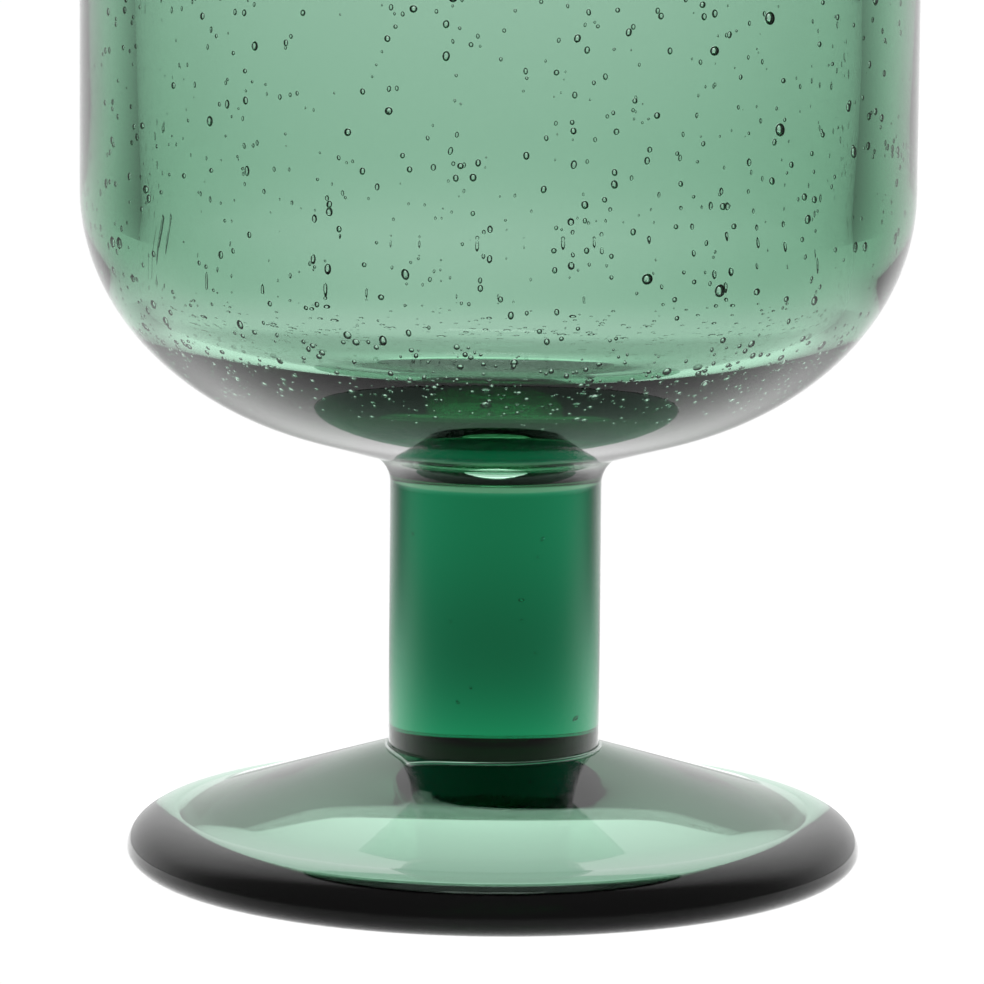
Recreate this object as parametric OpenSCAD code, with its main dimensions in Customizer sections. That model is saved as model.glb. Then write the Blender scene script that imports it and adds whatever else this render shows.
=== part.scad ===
// Stemmed wine glass in thick green bubble glass: a blown bowl with a drawn neck, a solid rod stem
// and a domed foot, fused end to end. The origin is the centre of the standing ring, on the table.

/* [Bowl] */
// Overall height, table to rim
glass_h = 135; // [125:1:145]
// Outside diameter of the straight wall
bowl_d = 85; // [80:0.5:90]
// Thickness of the straight wall
wall_t = 4.8; // [4:0.1:5.5]
// Thickness of the wall just under the rim
rim_t = 3.6; // [3:0.1:4]
// Height over which the wall thins towards the rim
rim_taper_h = 30; // [20:1:40]
// Height at which the wall starts to turn in
corner_z = 70.1; // [68:0.1:74]
// Width of the outside corner curve
corner_w = 32.4; // [30:0.1:34]
// Height of the outside corner curve
corner_h = 26.3; // [24:0.1:28]
// Thickness of the wall where the inside starts to turn in
heel_t = 6.5; // [5.5:0.1:7]
// Height at which the inside starts to turn in
inside_z = 65; // [63:0.5:68]
// Squareness of the inside's round bottom, where 2 is an ellipse
inside_power = 2.5; // [2.2:0.1:3]
// Thickness of the floor at its centre
floor_t = 6.5; // [5.5:0.1:8]

/* [Neck] */
// Slope of the bowl's underside where it runs into the neck, in degrees
underside_slope = 16.1; // [13:0.1:18]
// Radius of the sweep from the underside into the neck
neck_r = 3.4; // [2.5:0.1:5]

/* [Stem] */
// Diameter of the stem
stem_d = 21.6; // [19:0.1:24]

/* [Foot] */
// Diameter of the foot
foot_d = 75.4; // [70:0.1:80]
// Height of the foot where the stem stands on it
foot_h = 12.6; // [12:0.1:14]
// Width of the foot's rounded edge
edge_w = 5.5; // [4:0.1:6.5]
// Height of the foot's widest line above the table
edge_z = 2.2; // [2:0.1:3]
// Height of the rounded edge above its widest line
edge_h = 3.75; // [3:0.05:4.5]
// Width of the flat ring that the glass stands on
ring_w = 2.7; // [1.5:0.1:4]
// Slope of the hollow underside, in degrees
hollow_slope = 17.2; // [14:0.1:19]
// Width over which the hollow eases out of the flat ring
hollow_ease = 2.5; // [1:0.1:4]
// Radius of the hollow's rounded middle
hollow_r = 19.5; // [14:0.5:21]

/* [Hidden] */
$fn = 96;

bowl_r = bowl_d / 2;
stem_r = stem_d / 2;
foot_r = foot_d / 2;

// Outside corner of the bowl, from the straight wall to where its slope is underside_slope
corner_end = atan2(corner_h, corner_w * tan(underside_slope));
underside = [
  bowl_r - corner_w + corner_w * cos(corner_end),
  corner_z - corner_h * sin(corner_end)
];
// Sweep into the neck: its centre, and the height at which it meets the stem
sweep_x = stem_r + neck_r;
sweep_z = underside.y + (sweep_x - underside.x) * tan(underside_slope) - neck_r / cos(underside_slope);
neck_z = sweep_z;

// Inside of the bowl: its radius where it starts to turn in, and the height of its floor
heel_r = bowl_r - heel_t;
floor_z = corner_z - corner_h + floor_t;

// Foot: where the straight slope of its top begins, and the standing ring
slope_top = [foot_r - edge_w, edge_z + edge_h];
ring_out = foot_r - edge_w + 2;
ring_in = ring_out - ring_w;
// Hollow underside: an easing out of the ring, a straight slope, then a rounded middle
slope_r = ring_in - hollow_ease;
rise = tan(hollow_slope);
ease_z = rise * hollow_ease / 2;
round_z = ease_z + rise * (slope_r - hollow_r);

// Points on part of an ellipse, from angle a0 to angle a1 in steps of about 6 degrees
function ellipse_arc(x, z, w, h, a0, a1) =
  let (n = max(3, ceil(abs(a1 - a0) / 6)))
  [for (i = [0:n]) let (a = a0 + (a1 - a0) * i / n) [x + w * cos(a), z + h * sin(a)]];

// Round bottom of the inside, from the wall down to the axis
function round_bottom(w, z_top, z_low, power) =
  [for (i = [0:24]) let (a = 90 * i / 24)
    [w * pow(cos(a), 2 / power), z_top - (z_top - z_low) * pow(sin(a), 2 / power)]];

// Hollow under the foot, from the axis out to the standing ring
function hollow_curve() = concat(
  [for (i = [0:8]) let (r = hollow_r * i / 8)
    [r, round_z + rise * (hollow_r - r * r / hollow_r) / 2]],
  [for (i = [0:6]) let (r = slope_r + hollow_ease * i / 6)
    [r, rise * pow(ring_in - r, 2) / (2 * hollow_ease)]]
);

// Blown bowl: cylindrical wall, rounded lip, heavy rounded base and a short neck
module bowl() {
  lip_r = rim_t / 2;
  color([0.30, 0.60, 0.46, 0.75])
    rotate_extrude()
      polygon(concat(
        [[0, neck_z], [stem_r, neck_z]],
        ellipse_arc(sweep_x, sweep_z, neck_r, neck_r, 180, 90 + underside_slope),
        ellipse_arc(bowl_r - corner_w, corner_z, corner_w, corner_h, -corner_end, 0),
        ellipse_arc(bowl_r - lip_r, glass_h - lip_r, lip_r, lip_r, 0, 180),
        [[bowl_r - wall_t, glass_h - rim_taper_h]],
        round_bottom(heel_r, inside_z, floor_z, inside_power)
      ));
}

// Solid rod between the neck and the foot
module stem() {
  color([0.10, 0.42, 0.28])
    translate([0, 0, foot_h])
      cylinder(h = neck_z - foot_h, r = stem_r);
}

// Domed foot: sloping top, rounded edge, flat standing ring and a hollow underside
module foot() {
  color([0.20, 0.50, 0.37])
    rotate_extrude()
      polygon(concat(
        hollow_curve(),
        ellipse_arc(ring_out, edge_z, foot_r - ring_out, edge_z, -90, 0),
        ellipse_arc(foot_r - edge_w, edge_z, edge_w, edge_h, 0, 90),
        [[stem_r, foot_h], [0, foot_h]]
      ));
}

bowl();
stem();
foot();
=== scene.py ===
import math
import random

import bmesh
import bpy
from mathutils import Euler, Matrix, Vector


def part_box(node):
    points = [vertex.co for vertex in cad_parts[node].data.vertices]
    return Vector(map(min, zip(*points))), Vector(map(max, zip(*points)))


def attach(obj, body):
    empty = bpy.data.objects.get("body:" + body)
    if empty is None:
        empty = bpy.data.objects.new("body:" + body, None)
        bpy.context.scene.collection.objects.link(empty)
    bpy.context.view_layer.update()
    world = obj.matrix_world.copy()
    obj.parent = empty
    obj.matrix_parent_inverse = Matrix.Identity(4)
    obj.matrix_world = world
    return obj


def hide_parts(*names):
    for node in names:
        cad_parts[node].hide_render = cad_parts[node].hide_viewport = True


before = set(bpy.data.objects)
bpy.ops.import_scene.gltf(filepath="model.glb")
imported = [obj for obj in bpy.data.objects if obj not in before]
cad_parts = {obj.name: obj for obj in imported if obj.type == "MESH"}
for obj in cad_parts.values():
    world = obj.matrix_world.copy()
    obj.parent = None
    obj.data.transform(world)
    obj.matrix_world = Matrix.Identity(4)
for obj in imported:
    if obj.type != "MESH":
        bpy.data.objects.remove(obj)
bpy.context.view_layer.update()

MM = 0.001

# ---- sizes that the frame gives, in metres ----
bowl_low, bowl_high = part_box("bowl")
stem_low, stem_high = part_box("stem")
foot_low, foot_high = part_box("foot")
BOWL_R = (bowl_high.x - bowl_low.x) / 2
STEM_R = (stem_high.x - stem_low.x) / 2
FOOT_R = (foot_high.x - foot_low.x) / 2
RIM_Z = bowl_high.z
NECK_Z = bowl_low.z
FOOT_H = foot_high.z

# ---- the part's other dimensions ----
WALL_T = 4.8 * MM  # the bowl's straight wall
RIM_T = 3.6 * MM  # the same wall just under the rim
RIM_TAPER_H = 30 * MM  # height over which it thins to that
CORNER_Z = 70.1 * MM  # where the outside starts to turn in
CORNER_W = 32.4 * MM
CORNER_H = 26.3 * MM
HEEL_T = 6.5 * MM  # the wall where the inside starts to turn in
INSIDE_Z = 65 * MM  # the height of that place
INSIDE_POWER = 2.5  # squareness of the inside's round bottom, where 2 is an ellipse
FLOOR_T = 6.5 * MM
UNDERSIDE_SLOPE = math.radians(16.1)
NECK_R = 3.4 * MM  # the sweep from the underside into the neck
EDGE_W = 5.5 * MM  # the foot's rounded edge
EDGE_Z = 2.2 * MM  # height of its widest line
EDGE_H = 3.75 * MM  # and how far it rises above that line
RING_OUT = FOOT_R - EDGE_W + 2 * MM  # the standing ring's outer edge
RING_IN = 31.5 * MM  # and its inner edge
HOLLOW_RISE = 0.31  # slope of the hollow under the foot, as height for each unit inwards
HOLLOW_EASE_R = 29 * MM  # it eases out of the standing ring from here outwards
HOLLOW_ROUND_R = 19.5 * MM  # and its rounded middle reaches this far

HEEL_R = BOWL_R - HEEL_T
TAPER_Z = RIM_Z - RIM_TAPER_H
FLOOR_Z = CORNER_Z - CORNER_H + FLOOR_T
# angle, in degrees, at which the elliptical corner meets the underside's slope
CORNER_END = math.degrees(math.atan2(CORNER_H, CORNER_W * math.tan(UNDERSIDE_SLOPE)))

# ---- fineness of the meshes ----
TURNS = 192  # steps round each lathe
INSIDE_STEPS = 48
HOLLOW_STEPS = 16
JOINT_GAP = 0.01 * MM  # between two fused faces
TOUCH = 0.001 * MM  # points closer than this are at one place

# ---- bubbles in the bowl ----
BUBBLE_SEED = 7
BUBBLE_USUAL = 0.43 * MM  # width of the usual bubble
BUBBLE_SPREAD = 0.40  # of the logarithm of the width
BUBBLE_MIN = 0.16 * MM
BUBBLE_MAX = 1.15 * MM
BUBBLE_SMALL = 0.45 * MM  # bubbles up to this size get a coarse ball
BUBBLE_LARGE = 1.1 * MM  # and those above this size a fine one
BUBBLE_SKIN = 0.3 * MM  # least glass over a bubble
WALL_BUBBLES = 1650  # those that don't fit in the wall are left out
WALL_BUBBLE_LOW = FLOOR_Z + 4 * MM
WALL_BUBBLE_HIGH = RIM_Z - 3 * MM
WALL_BUBBLE_CROWD = 1.3  # over 1, they crowd towards the floor
WALL_BUBBLE_STRETCH = (0.95, 1.45)  # height for width
WALL_BUBBLE_LEAN = 0.25  # radians
FLOOR_BUBBLES = 700
FLOOR_BUBBLE_DEPTH = 2 * MM
FLOOR_BUBBLE_SIZE = 0.8  # against a wall bubble
FLOOR_BUBBLE_PLACES = (0.52, 0.97)  # squares of their distance from the axis, against the heel's
FLOOR_BUBBLE_SHAPE = (1.2, 1.2, 0.7)  # wider than high

# ---- how the blown bowl strays from true ----
WAVE_H = 0.06 * MM  # height of a wave of strength 1
WAVE_UP = 11 * MM  # waves climb by one radian over this height
INSIDE_OFF = 0.2 * MM  # the inside is this far off centre
# for each wave: its strength, its number round the bowl, where it starts and how fast it climbs
INSIDE_WAVES = ((1.0, 3, 1.1, 1.0), (0.8, 5, 0, -1.4), (0.6, 2, math.pi / 2, 2.6))

# ---- flat pocket of air in the neck ----
POCKET_IN = 8.5 * MM  # from the axis
POCKET_UP = 4.1 * MM  # above the top of the stem
POCKET_SIZE = (3.0 * MM, 2.6 * MM, 0.12 * MM)  # half sizes
POCKET_TILT = math.radians(43)

# ---- specks in the stem ----
STEM_SEED = 4
STEM_BUBBLES = 12
STEM_BUBBLE_HALF = (0.08, 0.2)  # half widths in millimetres
STEM_BUBBLE_PLACES = (0.1, 0.8)  # from the axis, against the stem's radius
STEM_BUBBLE_CLEAR = (3 * MM, 2 * MM)  # of the stem's lower and upper ends
STEM_BUBBLE_LEAN = 0.8  # radians
STEM_BUBBLE_STRETCH = (1, 2.2)  # length for width

# ---- the uneven middle of the foot's hollow ----
LUMP_R = 14 * MM
LUMP_H = 0.09 * MM  # height of a wave of strength 1
# for each wave: the same four numbers
LUMPS = ((1.0, 2, 0.6, 0), (0.6, 3, 2.2, 0), (0.4, 5, math.pi / 2, 0), (-2.0, 1, math.pi / 2, 0))

# ---- the fine raised line round the bottom of the stem ----
SEAM_R = 0.15 * MM  # half its thickness
SEAM_SIDES = 8
SEAM_CLEAR = 0.02 * MM  # between it and the stem
SEAM_LIFT = 1.15  # its middle above the foot's top, against half its thickness
SEAM_KINK = 1.5 * MM  # how far it is pushed out at one place
SEAM_KINK_AT = math.radians(226)
SEAM_KINK_W = 0.22  # the angle over which it fades, in radians

# ---- glass, its absorption per millimetre in red, green and blue ----
BOWL_GLASS = (0.112, 0.060, 0.089)
STEM_GLASS = (0.252, 0.088, 0.131)
FOOT_GLASS = (0.176, 0.115, 0.148)
GLASS_IOR = 1.52
SHEEN = 0.45  # strength of reflections seen straight on

# ---- studio ----
PALE = 1.02  # glow of the floor and backdrop that the camera sees
FLOOR_W = 16
FLOOR_DROP = 0.04 * MM  # below the glass
TABLE_DROP = 0.02 * MM  # the lit table lies between the glass and that floor
DOME_R = 5
FAR_LIGHT = 1.0  # glow of the table and dome well behind the glass
SIDE_LIGHT = 0.3  # their glow at its sides and in front
# the far glow is full up to the first angle from straight behind, and gone past the second
TABLE_SPREAD = (math.radians(28), math.radians(63))
DOME_SPREAD = (math.radians(40), math.radians(85))
TABLE_FAR = (0.06, 0.23)  # the table's far glow grows between these distances from the axis
SKY_LIGHT = 1.5  # the dome's far glow grows by this factor with height
SKY_RISE = (0.3, 0.65)  # between these sines of the angle above the table
POOL_LIGHT = 1.52  # the pool of light that the glass stands in
POOL_Y = 32 * MM  # its middle is behind the glass
POOL_W = 170 * MM
POOL_L = 62 * MM
CORE_LIGHT = 0.45  # a brighter core along the pool's middle
CORE_W = 28 * MM
LAMP_PLACE = (0, 0.08, 1.2)
LAMP_AIM = (0, 0, 0.05)
LAMP_SIZE = (0.3, 0.2)
LAMP_GLOW = 3.0

# ---- camera ----
CAMERA_D = 800 * MM
CAMERA_HEIGHT = math.radians(11.75)  # how far above the table it stands, seen from the origin
CAMERA_PITCH = math.radians(9)  # it looks down by less than that, so that the foot is low in the picture
CAMERA_ROLL = math.radians(0.5)
CAMERA_SIDE = -0.38 * MM
VIEW_W = 101.4433 * MM  # width of the picture at the glass
SENSOR = 36.0
GLASS_BOUNCES = 24
OTHER_BOUNCES = 16


# ---- outlines, each a list of (radius, height) ----


def arc(x, z, w, h, a0, a1, step=2.5):
    """Points on part of an ellipse, angles and step in degrees."""
    n = max(3, math.ceil(abs(a1 - a0) / step))
    angles = [math.radians(a0 + (a1 - a0) * i / n) for i in range(n + 1)]
    return [(x + w * math.cos(a), z + h * math.sin(a)) for a in angles]


def line(p, q, n):
    """n - 1 points strictly between p and q."""
    return [(p[0] + (q[0] - p[0]) * i / n, p[1] + (q[1] - p[1]) * i / n) for i in range(1, n)]


def inside_r(z):
    """Radius of the bowl's inside at a height."""
    if z < INSIDE_Z:
        drop = min(1, (INSIDE_Z - z) / (INSIDE_Z - FLOOR_Z))
        return HEEL_R * (1 - drop**INSIDE_POWER) ** (1 / INSIDE_POWER)
    if z < TAPER_Z:
        return HEEL_R + (HEEL_T - WALL_T) * (z - INSIDE_Z) / (TAPER_Z - INSIDE_Z)
    return BOWL_R - WALL_T + (WALL_T - RIM_T) * (z - TAPER_Z) / RIM_TAPER_H


def floor_at(r):
    """Height of the bowl's inside bottom at a radius."""
    return INSIDE_Z - (INSIDE_Z - FLOOR_Z) * (1 - (r / HEEL_R) ** INSIDE_POWER) ** (1 / INSIDE_POWER)


def outside_r(z):
    """Radius of the bowl's outside at a height above the slope of its underside."""
    if z > CORNER_Z:
        return BOWL_R
    return BOWL_R - CORNER_W + CORNER_W * math.sqrt(max(0, 1 - ((CORNER_Z - z) / CORNER_H) ** 2))


def bowl_profile():
    """From the middle of the neck's end, up the outside, over the lip and down to the inside bottom."""
    bottom = NECK_Z + JOINT_GAP / 2
    neck = arc(STEM_R + NECK_R, NECK_Z, NECK_R, NECK_R, 180, 90 + math.degrees(UNDERSIDE_SLOPE))
    neck[0] = (STEM_R, bottom)
    corner = arc(BOWL_R - CORNER_W, CORNER_Z, CORNER_W, CORNER_H, -CORNER_END, 0)
    lip_r = RIM_T / 2
    lip = arc(BOWL_R - lip_r, RIM_Z - lip_r, lip_r, lip_r, 0, 180, step=12)
    taper = (BOWL_R - WALL_T, TAPER_Z)
    inside = []
    for i in range(INSIDE_STEPS):
        r = HEEL_R * math.cos(math.pi / 2 * i / INSIDE_STEPS) ** (2 / INSIDE_POWER)
        inside.append((r, floor_at(r)))
    return (
        [(0, bottom)]
        + neck
        + line(neck[-1], corner[0], 3)
        + corner
        + line(corner[-1], lip[0], 8)
        + lip
        + line(lip[-1], taper, 4)
        + [taper]
        + line(taper, inside[0], 6)
        + inside
        + [(0, FLOOR_Z)]
    )


def foot_profile():
    """From the middle of the hollow, out under the foot, round its edge and up to the stem."""
    top = FOOT_H - JOINT_GAP / 2
    ease = RING_IN - HOLLOW_EASE_R
    low = HOLLOW_RISE * ease / 2
    high = low + HOLLOW_RISE * (HOLLOW_EASE_R - HOLLOW_ROUND_R)
    hollow = []
    for i in range(HOLLOW_STEPS + 1):
        r = HOLLOW_ROUND_R * i / HOLLOW_STEPS
        hollow.append((r, high + HOLLOW_RISE * (HOLLOW_ROUND_R - r * r / HOLLOW_ROUND_R) / 2))
    hollow += line((HOLLOW_ROUND_R, high), (HOLLOW_EASE_R, low), 6)
    for i in range(HOLLOW_STEPS + 1):
        r = HOLLOW_EASE_R + ease * i / HOLLOW_STEPS
        hollow.append((r, HOLLOW_RISE * (RING_IN - r) ** 2 / (2 * ease)))
    under = arc(RING_OUT, EDGE_Z, FOOT_R - RING_OUT, EDGE_Z, -90, 0, step=4)
    over = arc(FOOT_R - EDGE_W, EDGE_Z, EDGE_W, EDGE_H, 0, 90, step=3)
    return hollow + under + over[1:] + line(over[-1], (STEM_R, top), 8) + [(STEM_R, top), (0, top)]


# ---- tools that build a mesh ----


def around(r, turn, z):
    """The point at a distance from the axis, an angle round it and a height."""
    return Vector((r * math.cos(turn), r * math.sin(turn), z))


def lathe(bm, profile, joint_layer, joint_z, shift=None):
    """Turns a closed profile, listed from one point on the axis to another, into a solid.

    Level faces that lie on one of the heights in joint_z are marked as fused joints.
    shift(r, z, turn) gives how far a point moves outwards and upwards, for glass that isn't true.
    """
    rings = []
    for r, z in profile:
        if r < TOUCH:
            rings.append([bm.verts.new((0, 0, z))])
            continue
        ring = []
        for i in range(TURNS):
            turn = 2 * math.pi * i / TURNS
            out, up = shift(r, z, turn) if shift else (0.0, 0.0)
            ring.append(bm.verts.new(around(r + out, turn, z + up)))
        rings.append(ring)
    for lower, upper in zip(rings, rings[1:]):
        level = abs(lower[0].co.z - upper[0].co.z) < TOUCH
        fused = level and any(abs(lower[0].co.z - z) < TOUCH for z in joint_z)
        for i in range(TURNS):
            j = (i + 1) % TURNS
            if len(lower) == 1:
                corners = (lower[0], upper[j], upper[i])
            elif len(upper) == 1:
                corners = (lower[i], lower[j], upper[0])
            else:
                corners = (lower[i], lower[j], upper[j], upper[i])
            face = bm.faces.new(corners)
            face.smooth = True
            if fused:
                face[joint_layer] = 1.0


def solid(name, build):
    """Makes an object from a function that fills a bmesh, with a face layer that marks fused joints."""
    bm = bmesh.new()
    joint_layer = bm.faces.layers.float.new("fused")
    build(bm, joint_layer)
    for edge in bm.edges:
        if len(edge.link_faces) == 2:
            edge.smooth = edge.link_faces[0][joint_layer] == edge.link_faces[1][joint_layer]
    mesh = bpy.data.meshes.new(name)
    bm.to_mesh(mesh)
    bm.free()
    piece = bpy.data.objects.new(name, mesh)
    bpy.context.scene.collection.objects.link(piece)
    return piece


def ripple(waves, turn, climb=0.0):
    """Sum of the waves in a table, at an angle round the axis and a height in radians."""
    total = 0.0
    for strength, count, start, steepness in waves:
        total += strength * math.sin(count * turn + start + steepness * climb)
    return total


def ball(steps):
    """Points and triangles of a round ball of radius 1."""
    bm = bmesh.new()
    bmesh.ops.create_icosphere(bm, subdivisions=steps, radius=1)
    points = [v.co.copy() for v in bm.verts]
    faces = [tuple(v.index for v in face.verts) for face in bm.faces]
    bm.free()
    return points, faces


BALLS = {steps: ball(steps) for steps in (1, 2, 3)}


def add_bubble(bm, middle, radii, turned):
    """A closed shell of the given half sizes, its faces turned inwards because the glass is outside it."""
    size = 2 * max(radii)
    points, faces = BALLS[1 + (size > BUBBLE_SMALL) + (size > BUBBLE_LARGE)]
    place = Matrix.Translation(middle) @ turned.to_matrix().to_4x4() @ Matrix.Diagonal((*radii, 1))
    verts = [bm.verts.new(place @ point) for point in points]
    for a, b, c in faces:
        bm.faces.new((verts[a], verts[c], verts[b])).smooth = True


# ---- the bowl ----


def bubble_size(dice):
    """Half a bubble's width: most are small, a few are large."""
    return min(BUBBLE_MAX, max(BUBBLE_MIN, dice.lognormvariate(math.log(BUBBLE_USUAL), BUBBLE_SPREAD))) / 2


def wall_bubbles(bm, dice):
    """Bubbles drawn out upwards, anywhere in the bowl's wall."""
    for _ in range(WALL_BUBBLES):
        half = bubble_size(dice)
        tall = half * dice.uniform(*WALL_BUBBLE_STRETCH)
        z = WALL_BUBBLE_LOW + (WALL_BUBBLE_HIGH - WALL_BUBBLE_LOW) * dice.random() ** WALL_BUBBLE_CROWD
        inner = inside_r(z)
        spare = outside_r(z) - inner - 2 * half - 2 * BUBBLE_SKIN
        if spare < 0:
            continue
        r = inner + half + BUBBLE_SKIN + dice.random() * spare
        turn = dice.uniform(0, 2 * math.pi)
        lean = Euler((dice.uniform(-WALL_BUBBLE_LEAN, WALL_BUBBLE_LEAN), 0, turn))
        add_bubble(bm, around(r, turn, z), (half, half, tall), lean)


def floor_bubbles(bm, dice):
    """Flatter bubbles just under the bowl's inside bottom."""
    for _ in range(FLOOR_BUBBLES):
        half = bubble_size(dice) * FLOOR_BUBBLE_SIZE
        r = HEEL_R * math.sqrt(dice.uniform(*FLOOR_BUBBLE_PLACES))
        slope = math.atan2(floor_at(r) - floor_at(r - MM), MM)
        depth = half + BUBBLE_SKIN + dice.random() * FLOOR_BUBBLE_DEPTH
        turn = dice.uniform(0, 2 * math.pi)
        middle = around(r + depth * math.sin(slope), turn, floor_at(r) - depth * math.cos(slope))
        radii = [half * share for share in FLOOR_BUBBLE_SHAPE]
        add_bubble(bm, middle, radii, Euler((0, -slope, turn)))


def neck_pocket(bm):
    """A flat pocket of air trapped in the neck, near its front, that catches the light."""
    middle = Vector((0, -POCKET_IN, NECK_Z + POCKET_UP))
    add_bubble(bm, middle, POCKET_SIZE, Euler((POCKET_TILT, 0, 0)))


def wavy_inside(r, z, turn):
    """The blown inside is slightly off centre and wavy, less so towards the rim and the axis."""
    if z < FLOOR_Z - MM or z > RIM_Z - RIM_T or r > outside_r(z) - MM:
        return 0.0, 0.0
    fade = min(1, r / (BOWL_R / 2)) * min(1, (RIM_Z - RIM_T - z) / RIM_TAPER_H)
    return fade * (WAVE_H * ripple(INSIDE_WAVES, turn, z / WAVE_UP) - INSIDE_OFF * math.cos(turn)), 0.0


def make_bowl():
    def build(bm, joint_layer):
        profile = bowl_profile()
        neck_end = profile[0][1]
        lathe(bm, profile, joint_layer, (neck_end,), shift=wavy_inside)
        dice = random.Random(BUBBLE_SEED)
        wall_bubbles(bm, dice)
        floor_bubbles(bm, dice)
        neck_pocket(bm)

    return solid("bowl_blown", build)


# ---- the stem ----


def stem_bubbles(bm, low, high):
    """A few small specks, leaning any way."""
    dice = random.Random(STEM_SEED)
    clear_low, clear_high = STEM_BUBBLE_CLEAR
    for _ in range(STEM_BUBBLES):
        half = dice.uniform(*STEM_BUBBLE_HALF) * MM
        r = STEM_R * dice.uniform(*STEM_BUBBLE_PLACES)
        turn = dice.uniform(0, 2 * math.pi)
        middle = around(r, turn, dice.uniform(low + clear_low, high - clear_high))
        tips = [dice.uniform(-STEM_BUBBLE_LEAN, STEM_BUBBLE_LEAN) for _ in range(2)]
        tall = half * dice.uniform(*STEM_BUBBLE_STRETCH)
        add_bubble(bm, middle, (half, half, tall), Euler((*tips, turn)))


def make_stem():
    low = FOOT_H + JOINT_GAP / 2
    high = NECK_Z - JOINT_GAP / 2

    def build(bm, joint_layer):
        side = line((STEM_R, low), (STEM_R, high), 6)
        profile = [(0, low), (STEM_R, low), *side, (STEM_R, high), (0, high)]
        lathe(bm, profile, joint_layer, (low, high))
        stem_bubbles(bm, low, high)

    return solid("stem_rod", build)


# ---- the foot ----


def uneven_hollow(r, z, turn):
    """The hollow's middle is where the foot was held while hot, so it is a little lumpy."""
    if r > LUMP_R or z > FOOT_H / 2 + MM:
        return 0.0, 0.0
    return 0.0, LUMP_H * ripple(LUMPS, turn) * math.sin(math.pi * r / LUMP_R) ** 2


def seam(bm):
    """The fine raised line where the hot stem was set on the foot, pushed out at one place."""
    slope = (FOOT_H - EDGE_Z - EDGE_H) / (FOOT_R - EDGE_W - STEM_R)
    rings = []
    for i in range(TURNS):
        turn = 2 * math.pi * i / TURNS
        away = (turn - SEAM_KINK_AT + math.pi) % (2 * math.pi) - math.pi
        out = SEAM_R + SEAM_CLEAR + SEAM_KINK * math.exp(-abs(away / SEAM_KINK_W))
        middle_z = FOOT_H - slope * out + SEAM_LIFT * SEAM_R
        ring = []
        for k in range(SEAM_SIDES):
            side = 2 * math.pi * k / SEAM_SIDES
            r = STEM_R + out + SEAM_R * math.cos(side)
            ring.append(bm.verts.new(around(r, turn, middle_z + SEAM_R * math.sin(side))))
        rings.append(ring)
    for i in range(TURNS):
        this = rings[i]
        after = rings[(i + 1) % TURNS]
        for k in range(SEAM_SIDES):
            m = (k + 1) % SEAM_SIDES
            bm.faces.new((this[k], after[k], after[m], this[m])).smooth = True


def make_foot():
    def build(bm, joint_layer):
        profile = foot_profile()
        top = profile[-1][1]
        lathe(bm, profile, joint_layer, (top,), shift=uneven_hollow)
        seam(bm)

    return solid("foot_disc", build)


# ---- glass ----


def glass(name, absorption):
    """Clear glass that absorbs per millimetre of depth. Fused faces let light straight through."""
    mat = bpy.data.materials.new(name)
    mat.use_nodes = True
    nt = mat.node_tree
    shader = nt.nodes["Principled BSDF"]
    shader.inputs["Base Color"].default_value = (1, 1, 1, 1)
    shader.inputs["Roughness"].default_value = 0.0
    shader.inputs["Transmission Weight"].default_value = 1.0
    shader.inputs["IOR"].default_value = GLASS_IOR
    shader.inputs["Specular Tint"].default_value = (SHEEN, SHEEN, SHEEN, 1)
    fused = nt.nodes.new("ShaderNodeAttribute")
    fused.attribute_name = "fused"
    bend = nt.nodes.new("ShaderNodeMapRange")
    bend.inputs["To Min"].default_value = GLASS_IOR
    bend.inputs["To Max"].default_value = 1.0
    nt.links.new(fused.outputs["Fac"], bend.inputs["Value"])
    nt.links.new(bend.outputs["Result"], shader.inputs["IOR"])
    volume = nt.nodes.new("ShaderNodeVolumeAbsorption")
    most = max(absorption)
    volume.inputs["Color"].default_value = (*[1 - a / most for a in absorption], 1)
    volume.inputs["Density"].default_value = most / MM
    nt.links.new(volume.outputs["Volume"], nt.nodes["Material Output"].inputs["Volume"])
    return mat


# ---- the studio's glow, by node ----


def emitter(name, strength):
    """A white material that only glows."""
    mat = bpy.data.materials.new(name)
    mat.use_nodes = True
    nt = mat.node_tree
    nt.nodes.clear()
    out = nt.nodes.new("ShaderNodeOutputMaterial")
    glow = nt.nodes.new("ShaderNodeEmission")
    glow.inputs["Color"].default_value = (1, 1, 1, 1)
    glow.inputs["Strength"].default_value = strength
    nt.links.new(glow.outputs["Emission"], out.inputs["Surface"])
    return mat


def value_of(nt, operation, *sides):
    """A Math node's output, from sockets or plain numbers."""
    node = nt.nodes.new("ShaderNodeMath")
    node.operation = operation
    for socket, side in zip(node.inputs, sides):
        if isinstance(side, (int, float)):
            socket.default_value = side
        else:
            nt.links.new(side, socket)
    return node.outputs["Value"]


def squared(nt, value):
    """The square of a socket's value."""
    return value_of(nt, "MULTIPLY", value, value)


def fading(nt, power):
    """e to the minus power."""
    return value_of(nt, "EXPONENT", value_of(nt, "MULTIPLY", power, -1))


def ramp_of(nt, value, low, high, from_low, from_high):
    """Smooth step of value, from low at from_low to high at from_high."""
    node = nt.nodes.new("ShaderNodeMapRange")
    node.interpolation_type = "SMOOTHSTEP"
    for name, number in (("From Min", from_low), ("From Max", from_high), ("To Min", low), ("To Max", high)):
        node.inputs[name].default_value = number
    nt.links.new(value, node.inputs["Value"])
    return node.outputs["Result"]


def axes_of(nt, vector):
    """The X, Y and Z of a vector socket."""
    split = nt.nodes.new("ShaderNodeSeparateXYZ")
    nt.links.new(vector, split.inputs["Vector"])
    return split.outputs["X"], split.outputs["Y"], split.outputs["Z"]


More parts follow.
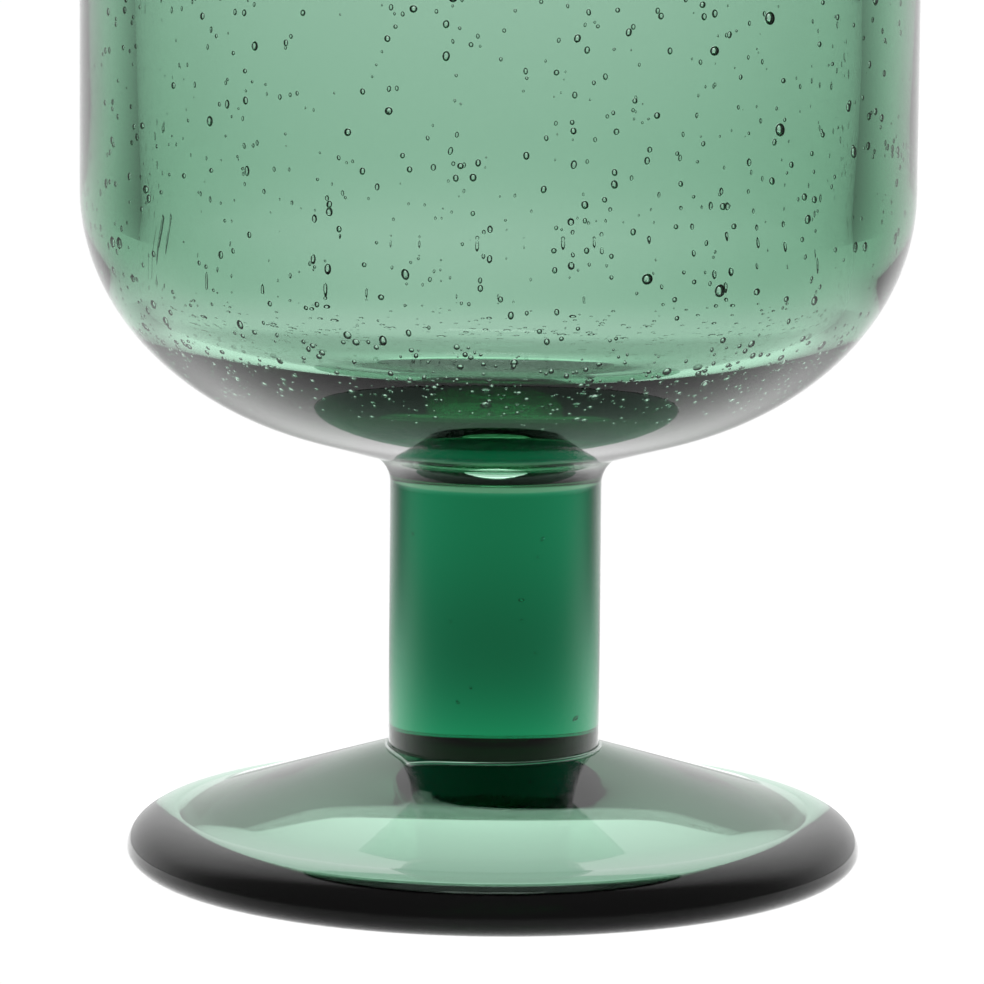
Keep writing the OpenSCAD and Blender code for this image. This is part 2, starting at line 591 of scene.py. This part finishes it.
def light_pool(nt, x, y):
    """Glow of the pool of light and its core, by place on the table."""
    wide = squared(nt, value_of(nt, "DIVIDE", x, POOL_W))
    deep = squared(nt, value_of(nt, "DIVIDE", value_of(nt, "SUBTRACT", y, POOL_Y), POOL_L))
    core = fading(nt, squared(nt, value_of(nt, "DIVIDE", x, CORE_W)))
    peak = value_of(nt, "ADD", value_of(nt, "MULTIPLY", core, CORE_LIGHT), POOL_LIGHT)
    return value_of(nt, "MULTIPLY", fading(nt, value_of(nt, "ADD", wide, deep)), peak)


def far_glow(nt, y, away, spread):
    """Extra glow behind the glass, by direction from the axis, where away is the distance from it."""
    full, gone = spread
    facing = value_of(nt, "DIVIDE", y, away)
    return ramp_of(nt, facing, 0, FAR_LIGHT - SIDE_LIGHT, math.cos(gone), math.cos(full))


def studio_glow(name, table):
    """Glow that is bright behind the glass and dim at its sides and in front, for the table or the dome."""
    mat = emitter(name, 1)
    nt = mat.node_tree
    place = nt.nodes.new("ShaderNodeTexCoord").outputs["Object"]
    x, y, _ = axes_of(nt, place)
    away = value_of(nt, "SQRT", value_of(nt, "ADD", squared(nt, x), squared(nt, y)))
    if table:
        far = far_glow(nt, y, away, TABLE_SPREAD)
        far = value_of(nt, "MULTIPLY", far, ramp_of(nt, away, 0, 1, *TABLE_FAR))
        glow = value_of(nt, "ADD", far, light_pool(nt, x, y))
    else:
        ray = nt.nodes.new("ShaderNodeVectorMath")
        ray.operation = "NORMALIZE"
        nt.links.new(place, ray.inputs[0])
        _, _, height = axes_of(nt, ray.outputs["Vector"])
        far = far_glow(nt, y, away, DOME_SPREAD)
        glow = value_of(nt, "MULTIPLY", far, ramp_of(nt, height, 1, SKY_LIGHT, *SKY_RISE))
    glow = value_of(nt, "ADD", glow, SIDE_LIGHT)
    nt.links.new(glow, nt.nodes["Emission"].inputs["Strength"])
    return mat


# ---- floor, light and camera ----


def make_studio():
    """A pale floor and backdrop for the camera, and the lit table and dome that the glass alone sees."""
    for name, drop, mat, seen in (
        ("floor", FLOOR_DROP, emitter("pale_floor", PALE), True),
        ("lit_table", TABLE_DROP, studio_glow("table_glow", True), False),
    ):
        bpy.ops.mesh.primitive_plane_add(size=FLOOR_W, location=(0, 0, -drop))
        plane = bpy.context.object
        plane.name = name
        plane.data.materials.append(mat)
        plane.visible_camera = seen
    bpy.ops.mesh.primitive_uv_sphere_add(segments=64, ring_count=32, radius=DOME_R)
    dome = bpy.context.object
    dome.name = "studio_dome"
    dome.data.materials.append(studio_glow("dome_glow", False))
    dome.visible_camera = False
    world = bpy.data.worlds.new("pale_backdrop")
    bpy.context.scene.world = world
    world.use_nodes = True
    backdrop = world.node_tree.nodes["Background"]
    backdrop.inputs["Color"].default_value = (1, 1, 1, 1)
    backdrop.inputs["Strength"].default_value = PALE


def make_lamp():
    """A rectangular softbox overhead, turned to the glass."""
    width, height = LAMP_SIZE
    data = bpy.data.lights.new("overhead_softbox", "AREA")
    data.shape = "RECTANGLE"
    data.size = width
    data.size_y = height
    data.energy = LAMP_GLOW * math.pi * width * height
    lamp = bpy.data.objects.new("overhead_softbox", data)
    bpy.context.scene.collection.objects.link(lamp)
    lamp.location = LAMP_PLACE
    lamp.rotation_euler = (Vector(LAMP_AIM) - Vector(LAMP_PLACE)).to_track_quat("-Z", "Y").to_euler()


def make_camera():
    """Looks along +Y and down at the glass, from in front of it."""
    data = bpy.data.cameras.new("camera")
    camera = bpy.data.objects.new("camera", data)
    bpy.context.scene.collection.objects.link(camera)
    bpy.context.scene.camera = camera
    data.sensor_width = SENSOR
    data.lens = SENSOR * CAMERA_D / VIEW_W
    camera.location = (
        CAMERA_SIDE,
        -CAMERA_D * math.cos(CAMERA_HEIGHT),
        CAMERA_D * math.sin(CAMERA_HEIGHT),
    )
    aim = Matrix.Rotation(math.pi / 2 - CAMERA_PITCH, 4, "X")
    camera.rotation_euler = (aim @ Matrix.Rotation(CAMERA_ROLL, 4, "Z")).to_euler()


# ---- the scene ----

bowl = make_bowl()
stem = make_stem()
foot = make_foot()
for piece, node, absorption in (
    (bowl, "bowl", BOWL_GLASS),
    (stem, "stem", STEM_GLASS),
    (foot, "foot", FOOT_GLASS),
):
    piece.data.materials.append(glass(f"{node}_glass", absorption))
    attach(piece, "root")
    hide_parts(node)

make_studio()
make_lamp()
make_camera()
bpy.context.scene.view_settings.view_transform = "Standard"
cycles = bpy.context.scene.cycles
cycles.max_bounces = GLASS_BOUNCES
cycles.transmission_bounces = GLASS_BOUNCES
cycles.glossy_bounces = OTHER_BOUNCES
cycles.transparent_max_bounces = OTHER_BOUNCES
